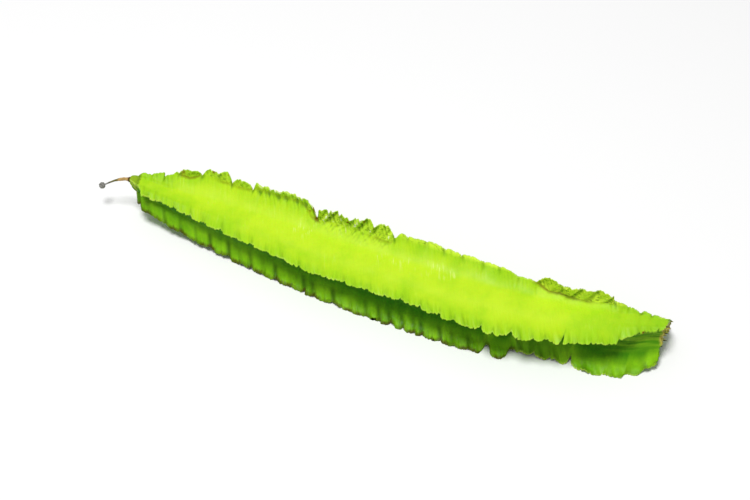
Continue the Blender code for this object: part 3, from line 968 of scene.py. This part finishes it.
# %% [markdown]
# Veins follow the skin, so it gets its own UV map, in metres: along the pod, and across it. The map leans
# as the veins do. Each valley has its own strip of it, so no pattern repeats from one to the next.

# %% The skin's own map
VALLEY_GAP = 40.0
VEIN_SLANT = 0.35

skin_place = np.stack([s_place - VEIN_SLANT * across, across + valley * VALLEY_GAP], axis=-1)
skin_place = np.append(skin_place, np.zeros((extra, 2)), axis=0)
corners = np.zeros(len(pod.data.loops), int)
pod.data.loops.foreach_get("vertex_index", corners)
skin_map = pod.data.uv_layers.active or pod.data.uv_layers.new()
skin_map.name = "skin_map"
skin_map.data.foreach_set("uv", (skin_place[corners] * MM).astype(np.float32).ravel())
print("skin map of", len(corners), "face corners")

# %% [markdown]
# ## The dried thread
#
# The flower's style dried to a bent thread: a dark collar at the pod's tip, a tan, fibrous stretch, a
# thinner darker one, and the grey knob of the stigma at its end. It is dead and stiff and snaps off by
# hand, so it is a piece of its own. A tube is extruded ring by ring along the thread's route, because its
# thickness and its bend change all the way. The knob is a ball, pushed in here and there.

# %% The thread's route
# How far out from the pod's tip, how far back, how far up, and the radius there.
THREAD_ROUTE = [(0.0, 0.0, 0.0, 0.95), (0.5, 0.0, 0.0, 0.85), (1.2, -0.1, -0.05, 0.6),
                (2.6, -0.3, -0.3, 0.55), (4.2, -0.6, -0.8, 0.5), (5.8, -0.95, -1.5, 0.36),
                (7.4, -1.4, -2.4, 0.3), (9.4, -2.0, -3.6, 0.28)]
THREAD_RINGS = 56
SEAT_GAP = 0.3

seat = Vector((TIP_X - SEAT_GAP, CENTRE_Y, CENTRE_HEIGHT + TIP_RISE + TIP_HOOK))
outs, backs, ups, radii = np.array(THREAD_ROUTE).T
outward = np.linspace(0, outs[-1], THREAD_RINGS)
route = np.stack([seat.x - outward, seat.y + through(outward, list(zip(outs, backs))),
                  seat.z + through(outward, list(zip(outs, ups)))], axis=-1)
route_radius = through(outward, list(zip(outs, radii)))
print("the thread starts at", route[0].round(2), "and ends at", route[-1].round(2))

# %% The thread's tube
THREAD_SIDES = 18

ring_gap = float(outward[1])
bpy.ops.object.select_all(action="DESELECT")
bpy.ops.mesh.primitive_cylinder_add(
    vertices=THREAD_SIDES, radius=route_radius[0] * MM, depth=ring_gap * MM, rotation=(0, -math.pi / 2, 0),
    location=[(route[0][0] - ring_gap / 2) * MM, route[0][1] * MM, route[0][2] * MM])
thread = bpy.context.object
thread.name = "dried_thread_skin"
bpy.ops.object.transform_apply(location=True, rotation=True, scale=True)
bpy.ops.object.mode_set(mode="EDIT")
pick("FACE", lambda face: face.normal.x < -FACING_OUT)
for i in range(2, THREAD_RINGS):
    bpy.ops.mesh.extrude_region_move(TRANSFORM_OT_translate={"value": Vector(route[i] - route[i - 1]) * MM})
    shrink = float(route_radius[i] / route_radius[i - 1])
    bpy.ops.transform.resize(value=(1, shrink, shrink), center_override=Vector(route[i]) * MM)
bpy.ops.object.mode_set(mode="OBJECT")
print("tube of", THREAD_RINGS, "rings with", THREAD_SIDES, "sides")

# %% Ridges and knots along the thread
# Dry fibres stand out as ridges that wind slowly round the thread: how many, and how fast they turn.
RIDGES = [(4, 1.4), (7, -2.2)]
RIDGE_SWELL = 0.07
KNOT_SWELL = 0.08
KNOT_WAVES = (1.3, 0.7)

points = points_of(thread)
out = seat.x - points[:, 0]
ring = np.clip(np.rint(out / ring_gap), 0, THREAD_RINGS - 1).astype(int)
spoke = points[:, 1:] - route[ring, 1:]
turn = np.arctan2(spoke[:, 1], spoke[:, 0])
ridges = sum(np.sin(count * turn + winding * out) for count, winding in RIDGES)
swell = 1 + RIDGE_SWELL * ridges + KNOT_SWELL * waves(out, KNOT_WAVES, seed=90)
points[:, 1:] = route[ring, 1:] + spoke * np.where(ring == 0, 1, swell)[:, None]
move_points(thread, points)
print("swollen by", round(float(swell.min()), 2), "to", round(float(swell.max()), 2), "times")

# %% The knob
KNOB_RADIUS = 1.15
KNOB_SUNK = 0.1
DENT = 0.035
DENT_RUNS = [((1.0, 0.6, 0.3), (1.1, 0.6), 91), ((-0.4, 0.9, 0.7), (0.9, 0.5), 92),
             ((0.3, -0.5, 1.0), (0.7, 0.45), 93)]

bpy.ops.object.select_all(action="DESELECT")
bpy.ops.mesh.primitive_ico_sphere_add(subdivisions=5, radius=KNOB_RADIUS * MM)
knob = bpy.context.object
ball = points_of(knob)
dents = sum(waves(ball @ run, lengths, seed) for run, lengths, seed in DENT_RUNS)
onwards = (route[-1] - route[-4]) / np.linalg.norm(route[-1] - route[-4])
knob_middle = route[-1] + onwards * (KNOB_RADIUS - KNOB_SUNK)
move_points(knob, knob_middle + ball * (1 - DENT + DENT * dents)[:, None])
thread.select_set(True)
bpy.context.view_layer.objects.active = thread
bpy.ops.object.join()
bpy.ops.object.shade_smooth()
print("thread:", len(thread.data.vertices), "points, knob at", knob_middle.round(2))

# %% [markdown]
# ## Finishes
#
# Every material is a tree of nodes, and all patterns in it are made from noise, which fits any shape and
# never repeats. The scale of a noise texture counts its waves in a metre. Here the size of a wave is
# written down in millimetres, and METRE divided by it is the scale.

# %% Colour helper and node helper
METRE = 1000


def linear(hex_colour):
    """An sRGB hex colour as linear red, green, blue and alpha."""
    parts = [int(hex_colour[i:i + 2], 16) / 255 for i in (0, 2, 4)]
    return [p / 12.92 if p <= 0.04045 else ((p + 0.055) / 1.055) ** 2.4 for p in parts] + [1]


def add(tree, kind, feeds, output=0, **settings):
    """Adds a node with its settings, feeds its inputs, and gives back one of its outputs."""
    new = tree.nodes.new("ShaderNode" + kind)
    for name, value in settings.items():
        setattr(new, name, value)
    for name, value in feeds.items():
        socket = new.inputs[name]
        if isinstance(value, bpy.types.NodeSocket):
            tree.links.new(value, socket)
        else:
            socket.default_value = value
    return new.outputs[output]


# %% [markdown]
# ### The pod's skin
#
# The skin of a fresh pod is one layer of living cells under a thin coat of the plant's own wax. It grew, so
# no tool has marked it. The cells give it a clear but uneven green, and the wax a soft, broad sheen without
# sharp highlights. A little light goes in and comes out again close by, most of it green, so the thin wings
# don't look like painted card.
#
# It is one skin, so it is one material. Its nodes are built from tables, row by row: the numbers kept on
# the mesh, then patterns, then shares between 0 and 1 that say where each mark is, then colours. Last,
# every mark is laid over the green in turn, like thin coats of paint. Some marks are painted light and
# shade: lit and shaded greens, highlights on pleats and veins, and shade in hollows and notches.

# %% The skin: numbers and patterns
# A pattern's row is its map, the size of its waves in millimetres, its detail, its roughness and its
# distortion. Veins are stretched across the pod, ribs are stretched along it, and wrinkles run askew.
VEIN_STRETCH = (1, 0.14, 1)
RIB_STRETCH = (0.06, 1, 1)
WRINKLE_STRETCH = (0.6, 1.2, 1)
WRINKLE_TURN = (0, 0, 0.5)

skin = bpy.data.materials.new("waxy_bean_skin")
skin.use_nodes = True
tree = skin.node_tree
at = {name: add(tree, "Attribute", {}, "Fac", attribute_name=name) for name in numbers}
on_skin = add(tree, "UVMap", {}, uv_map="skin_map")
in_space = add(tree, "TexCoord", {}, "Object")
veins = add(tree, "Mapping", {"Vector": on_skin, "Scale": VEIN_STRETCH})
wrinkles = add(tree, "Mapping", {"Vector": on_skin, "Scale": WRINKLE_STRETCH, "Rotation": WRINKLE_TURN})
ribs = add(tree, "Mapping", {"Vector": on_skin, "Scale": RIB_STRETCH})
PATTERNS = {"clouds": (in_space, 9, 4.0, 0.6, 0), "patches": (in_space, 6, 1.0, 0.5, 0),
            "blotches": (in_space, 0.9, 3.0, 0.6, 0), "pores": (in_space, 0.7, 2.0, 0.5, 0),
            "veins": (veins, 0.8, 3.0, 0.6, 0.35), "wrinkles": (wrinkles, 3.2, 1.5, 0.6, 0),
            "ribs": (ribs, 1.1, 2.0, 0.5, 0)}
for name, (place, size, detail, roughness, distortion) in PATTERNS.items():
    at[name] = add(tree, "TexNoise", {"Vector": place, "Scale": METRE / size, "Detail": detail,
                                      "Roughness": roughness, "Distortion": distortion})
print("patterns:", {name: row[1] for name, row in PATTERNS.items()})

# %% The skin: uneven borders
# A pattern, times a number, is added to a number of the mesh, so the mark that it places has no even
# border. A crease and a wrinkle are lines: both sides of them count as near.
BORDERS = {"to_tip": ("blotches", 2.0, "from_tip"), "glinting": ("veins", 1.6, "painted_shading"),
           "to_rim": ("blotches", -0.9, "edge_gap"), "to_crease": ("blotches", 0.8, "crease_gap"),
           "bruising": ("blotches", 0.9, "bruise"), "dry_blotches": ("blotches", 0.8, "dry"),
           "drying": ("ribs", 0.9, "dry_blotches")}
CREASE_MIDDLE = 0.5
WRINKLE_GAP = 0.09

for name, (pattern, times, number) in BORDERS.items():
    at[name] = add(tree, "Math", {0: at[pattern], 1: times, 2: at[number]}, operation="MULTIPLY_ADD")
at["to_crease"] = add(tree, "Math", {0: at["to_crease"], 1: -CREASE_MIDDLE}, operation="ADD")
at["to_crease"] = add(tree, "Math", {0: at["to_crease"]}, operation="ABSOLUTE")
at["to_wrinkle"] = add(tree, "Math", {0: at["wrinkles"], 1: WRINKLE_GAP}, operation="PINGPONG")
print("uneven borders:", sorted(BORDERS))

# %% The skin: shares
# Each reads something, from one value to another, and turns it into a share from 0 to 1 or between two
# others. deep places painted shade deep in a valley. crest, glint and shine place painted highlights on
# pleats and veins, and hollow and wrinkle place painted shade in pleat hollows and wrinkles.
SHARES = {"cloudy": ("clouds", 0.38, 0.64), "yellow": ("cloudy", 0, 1, 0.95, 0.5),
          "patch": ("patches", 0.52, 0.68), "deep": ("edge_gap", 3.5, 7.5, 0, 0.9),
          "near_edge": ("edge_gap", 3.5, 0.5),
          # near_tip places a line of painted shade across the pod, just behind its olive tip.
          "folded": ("crease_gap", 0, 1.2), "near_tip": ("to_tip", 4.9, 4.1, 0, 0.9),
          "at_tip": ("to_tip", 4.1, 3.1, 0, 0.9), "vein_depth": ("near_edge", 0, 1, 0.06, 0.4),
          "dark_vein": ("veins", 0.5, 0.3), "pale_vein": ("veins", 0.54, 0.7),
          "shine": ("painted_glint_area", 0, 1, 0.15, 1.6), "crest": ("painted_shading", 0.1, 0.9, 0, 0.5),
          "hollow": ("painted_shading", 0, -0.8, 0, 0.75), "glint": ("glinting", 1.35, 1.6, 0, 0.85),
          "wrinkle": ("to_wrinkle", 0.02, 0, 0, 0.75), "rib": ("ribs", 0.42, 0.58),
          "thin_rim": ("to_rim", 0, -0.4), "wide_rim": ("to_rim", 0.9, 0, 0, 0.9),
          "patchy": ("patches", 0.4, 0.6, 0.25, 1), "crease": ("to_crease", 1.0, 0.1),
          "brown": ("bruising", 0.7, 1.05), "dark": ("bruising", 1.1, 1.45), "straw": ("drying", 0.8, 1.3),
          "dead": ("drying", 1.6, 2.0), "dull": ("patches", 0.4, 0.7, 0.5, 0.36)}
for name, (source, *limits) in SHARES.items():
    ends = dict(zip(("From Min", "From Max", "To Min", "To Max"), limits))
    at[name] = add(tree, "MapRange", {"Value": at[source], **ends})
print("shares:", len(SHARES))

# %% The skin: its greens
# Light and shade are painted into these greens. The top valley, lit by the lamp, has two painted sunlit
# greens in soft clouds, and the other faces have two painted shaded greens. The valley green is painted
# shade, darkest deep in a valley. The pale green, the shaded crest green and the glint green are painted
# highlights on pleat crests and veins, and the notch greens are painted shade in notch lines, pleat hollows
# and wrinkles. Ribs have greens of their own. A blend's row is a share, the colour at 0 and the colour at 1.
GREENS = {"sunny": "BAE21D", "deep_painted_sunlit": "A5D91A", "shaded": "8ECC14", "deep_shaded": "6CAC0A",
          "valley": "2E7A00", "sun_yellow": "C6EA28", "edge": "97D01A", "old": "8CCB1C",
          "fold_olive": "DCFA40", "tip_dark": "6A8A10", "tip_olive": "93B520",
          "vein": "6FA80E", "pale": "E2F57C", "shaded_crest_highlight": "B4DC40", "glint": "F6FCD2",
          "notch_green": "4E7A0A", "notch_shadow": "2A5203",
          "rib_dark": "4E8C0A", "rib_olive": "7CB01C", "rim_pale": "C9E85A"}
BLENDS = {"sun_side": ("cloudy", "sunny", "deep_painted_sunlit"), "shade": ("cloudy", "shaded", "deep_shaded"),
          "shade_side": ("deep", "shade", "valley"), "skin": ("sunny", "shade_side", "sun_side"),
          "crest": ("sunny", "shaded_crest_highlight", "pale"), "rib": ("rib", "rib_dark", "rib_olive"),
          "notch": ("sunny", "notch_shadow", "notch_green")}
colour = {name: linear(value) for name, value in GREENS.items()}
for name, (share, under, over) in BLENDS.items():
    colour[name] = add(tree, "Mix", {0: at[share], 6: colour[under], 7: colour[over]}, 2, data_type="RGBA")
print("greens:", len(GREENS), "blended into", sorted(BLENDS))

# %% The skin: coats of colour
# Where cells have died, at a crease, a bruise, an old rim or the dry end, the green has gone and they are
# brown. Other coats are painted light and shade: painted highlights on pleat crests, glinting veins and
# the folded parts, painted shade in pleat hollows, wrinkles, notch lines, a line near the tip and a patch
# near it, and painted light in a pale spot at the stalk end's top corner. A coat's row is its colour and
# the shares that are multiplied to say where it lies. Over 1 counts as 1.
BROWNS = {"rim_brown": "4E4A0C", "crease_olive": "7E7A10", "brown": "8E7E14", "dark_brown": "42380A",
          "dry_straw": "B4AE48"}
COATS = [("edge", "near_edge", 0.4, "sunny"), ("sun_yellow", "middle", "sunny", "yellow"),
         ("old", "old_end", 0.6, "sunny"), ("fold_olive", "folded", "fold_light"), ("tip_dark", "near_tip"),
         ("tip_olive", "at_tip"), ("vein", "dark_vein", "vein_depth"),
         ("pale", "pale_vein", "patch", "shine", "sunny"), ("crest", "crest"), ("glint", "glint", "folded"),
         ("notch_green", "hollow"), ("notch_green", "wrinkle", "folded"), ("rib", "ribbed"),
         ("notch", "notched", 0.85), ("rim_pale", "thin_rim", "pale_rim", "patchy"),
         ("rim_brown", "wide_rim", "brown_rim"), ("crease_olive", "crease", "crease_brown", 0.85),
         ("brown", "brown"), ("dark_brown", "dark"), ("dry_straw", "straw"), ("dark_brown", "dead")]
colour.update({name: linear(value) for name, value in BROWNS.items()})
green = colour["skin"]
for name, share, *others in COATS:
    where = at[share]
    for other in others:
        where = add(tree, "Math", {0: where, 1: at.get(other, other)}, operation="MULTIPLY")
    green = add(tree, "Mix", {0: where, 6: green, 7: colour[name]}, 2, data_type="RGBA")
shader = tree.nodes["Principled BSDF"]
tree.links.new(green, shader.inputs["Base Color"])
print("coats of colour:", len(COATS))

# %% The skin: relief and shine
# Veins and pores stand up by a fraction of a millimetre. Wax is a weak mirror, so the shine is low and
# broad.
RELIEF_HEIGHT = 0.3
PORE_HEIGHT = 0.3
VEIN_HEIGHT = 0.7
SKIN_SHINE = 0.12
LIGHT_INSIDE = 0.15
LIGHT_TRAVELS = (0.6, 1.0, 0.15)

pores = add(tree, "Math", {0: at["pores"], 1: PORE_HEIGHT}, operation="MULTIPLY")
height = add(tree, "Math", {0: at["veins"], 1: VEIN_HEIGHT, 2: pores}, operation="MULTIPLY_ADD")
bumps = add(tree, "Bump", {"Height": height, "Strength": 0.5, "Distance": RELIEF_HEIGHT * MM})
tree.links.new(bumps, shader.inputs["Normal"])
tree.links.new(at["dull"], shader.inputs["Roughness"])
shader.inputs["Specular IOR Level"].default_value = SKIN_SHINE
shader.inputs["Subsurface Weight"].default_value = LIGHT_INSIDE
shader.inputs["Subsurface Radius"].default_value = LIGHT_TRAVELS
shader.inputs["Subsurface Scale"].default_value = MM
pod.data.materials.append(skin)
print("the skin's material has", len(tree.nodes), "nodes")

# %% [markdown]
# ### The dried thread's finish
#
# The thread is dead plant fibre. It withered on the plant, so it shrank into fine lengthwise ridges and
# kept no wax. That leaves it dull, with a grain that runs along it. Its colour changes on the way out: dark
# brown at the collar, tan, olive where it thins, and grey at the knob.

# %% The thread's colours
# Shares of the way out from the pod's tip, and the colour there.
THREAD_LENGTH = 10.8
COLLAR_BROWN = linear("5C3F12")
THREAD_TAN = linear("C6A262")
THREAD_OLIVE = linear("6E6A2E")
THREAD_GREY = linear("6B6A5C")
KNOB_GREY = linear("8B8A84")
KNOB_DARK = linear("3E3D3A")
THREAD_STOPS = [(0.0, COLLAR_BROWN), (0.055, COLLAR_BROWN), (0.085, THREAD_TAN), (0.38, THREAD_TAN),
                (0.46, THREAD_OLIVE), (0.62, THREAD_OLIVE), (0.74, THREAD_GREY), (0.8, KNOB_GREY)]
thread_end = seat.x - THREAD_LENGTH
print("colours run from x", round(seat.x, 1), "to", round(thread_end, 1), "mm")

# %% The thread's material
GRAIN = 0.35
GRAIN_STRETCH = (0.25, 1, 1)
GRAIN_DARKENS = {"From Min": 0.5, "From Max": 0.36, "To Max": 0.6}
GRAIN_HEIGHT = 0.2
DULLNESS = 0.8
FIBRE_SHINE = 0.2

dry_flower = bpy.data.materials.new("dried_flower_thread")
dry_flower.use_nodes = True
tree = dry_flower.node_tree
in_space = add(tree, "TexCoord", {}, "Object")
out_place = add(tree, "SeparateXYZ", {"Vector": in_space}, "X")
out_share = add(tree, "MapRange", {"Value": out_place, "From Min": seat.x * MM, "From Max": thread_end * MM})
along_grain = add(tree, "Mapping", {"Vector": in_space, "Scale": GRAIN_STRETCH})
grain = add(tree, "TexNoise", {"Vector": along_grain, "Scale": METRE / GRAIN, "Detail": 3.0})
dark_grain = add(tree, "MapRange", {"Value": grain, **GRAIN_DARKENS})
stops_colour = add(tree, "ValToRGB", {"Fac": out_share})
ramp = stops_colour.node.color_ramp
for i, (stop, ramp_colour) in enumerate(THREAD_STOPS):
    element = ramp.elements[i] if i < 2 else ramp.elements.new(stop)
    element.position = stop
    element.color = ramp_colour
thread_colour = add(tree, "Mix", {0: dark_grain, 6: stops_colour, 7: KNOB_DARK}, 2, data_type="RGBA")
bumps = add(tree, "Bump", {"Height": grain, "Strength": 0.6, "Distance": GRAIN_HEIGHT * MM})
shader = tree.nodes["Principled BSDF"]
tree.links.new(thread_colour, shader.inputs["Base Color"])
tree.links.new(bumps, shader.inputs["Normal"])
shader.inputs["Roughness"].default_value = DULLNESS
shader.inputs["Specular IOR Level"].default_value = FIBRE_SHINE
thread.data.materials.append(dry_flower)
print("the thread's material has", len(tree.nodes), "nodes")

# %% [markdown]
# ### The table's paper
#
# The pod lies on plain white paper: bleached wood fibre, pressed and left uncoated. It throws back nearly
# all light, evenly on every side, so it needs no pattern, only a high roughness.

# %% Paper
PAPER_WHITE = linear("FCFCFC")
PAPER_ROUGHNESS = 0.9

paper = bpy.data.materials.new("white_paper")
paper.use_nodes = True
paper.node_tree.nodes["Principled BSDF"].inputs["Base Color"].default_value = PAPER_WHITE
paper.node_tree.nodes["Principled BSDF"].inputs["Roughness"].default_value = PAPER_ROUGHNESS
table.data.materials.append(paper)
print("paper throws back", round(PAPER_WHITE[0], 3), "of the light")

# %% [markdown]
# The pod and its thread don't move against each other, so both ride on the frame's one body, "root". Each
# takes the place of the plain solid that it was modelled over.

# %% Ride on the frame and finish
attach(pod, "root")
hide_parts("pod")
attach(thread, "root")
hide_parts("dried_thread")
